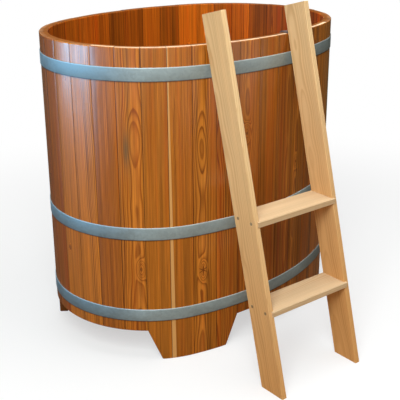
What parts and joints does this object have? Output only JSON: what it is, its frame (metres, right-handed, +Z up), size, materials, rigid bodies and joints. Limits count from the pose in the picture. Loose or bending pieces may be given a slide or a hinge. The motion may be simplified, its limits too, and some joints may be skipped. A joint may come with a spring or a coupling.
{
  "type": "outdoor wooden tub",
  "caption": "Oval wooden plunge tub of upright staves on four feet, with flat steel hoops, a drain with plug and a ladder hooked over the rim.",
  "frame": {"origin": "on the ground, below the middle of the box round tub and ladder; the oval's own middle lies at Y = 0.1746 m", "axes": "+Z up, +X along the tub's length, -Y towards the side that the ladder leans on"},
  "size_m": [1.078, 1.1118, 1.1046],
  "materials": {
    "larch": "oiled larch, satin, orange brown with straight and cathedral grain",
    "larch_floor": "planed larch, bare",
    "galvanised_band": "hot-dip galvanised strip, matt",
    "galvanised_rivet": "galvanised rivet",
    "screw_steel": "zinc plated screw",
    "drain_metal": "satin stainless steel",
    "gasket_rubber": "black rubber",
    "plug_rubber": "moulded black rubber",
    "ladder_pine": "planed pale softwood, bare",
    "hook_steel": "galvanised flat steel"
  },
  "bodies": {
    "tub": {"stave_01": "larch", "stave_02": "larch", "stave_03": "larch", "stave_04": "larch", "stave_05": "larch", "stave_06": "larch", "stave_07": "larch", "stave_08": "larch", "stave_09": "larch", "stave_10": "larch", "stave_11": "larch", "stave_12": "larch", "stave_13": "larch", "stave_14": "larch", "stave_15": "larch", "stave_16": "larch", "stave_17": "larch", "stave_18": "larch", "stave_19": "larch", "stave_20": "larch", "stave_21": "larch", "stave_22": "larch", "stave_23": "larch", "stave_24": "larch", "stave_25": "larch", "stave_26": "larch", "stave_27": "larch", "stave_28": "larch", "stave_29": "larch", "stave_30": "larch", "stave_31": "larch", "stave_32": "larch", "stave_33": "larch", "stave_34": "larch", "stave_35": "larch", "stave_36": "larch", "stave_37": "larch", "stave_38": "larch", "hoop_upper": "galvanised_band", "hoop_middle": "galvanised_band", "hoop_lower": "galvanised_band", "hoop_rivets": "galvanised_rivet", "floor_board_1": "larch_floor", "floor_board_2": "larch_floor", "floor_board_3": "larch_floor", "floor_board_4": "larch_floor", "floor_board_5": "larch_floor", "floor_battens": "larch_floor", "floor_screws": "screw_steel", "drain_body": "drain_metal", "drain_gaskets": "gasket_rubber", "drain_nut": "drain_metal"},
    "ladder": {"stile_left": "ladder_pine", "stile_right": "ladder_pine", "step_lower": "ladder_pine", "step_upper": "ladder_pine", "rim_hook": "hook_steel", "ladder_screws": "screw_steel"},
    "plug": {"drain_plug": "plug_rubber"}
  },
  "joints": [
    {"name": "ladder_lift", "type": "slide", "parent": "tub", "child": "ladder", "axis": [0, 0, 1], "range_m": [0, 0.12]},
    {"name": "drain_plug_lift", "type": "slide", "parent": "tub", "child": "plug", "axis": [0, 0, 1], "range_m": [0, 0.1]}
  ]
}
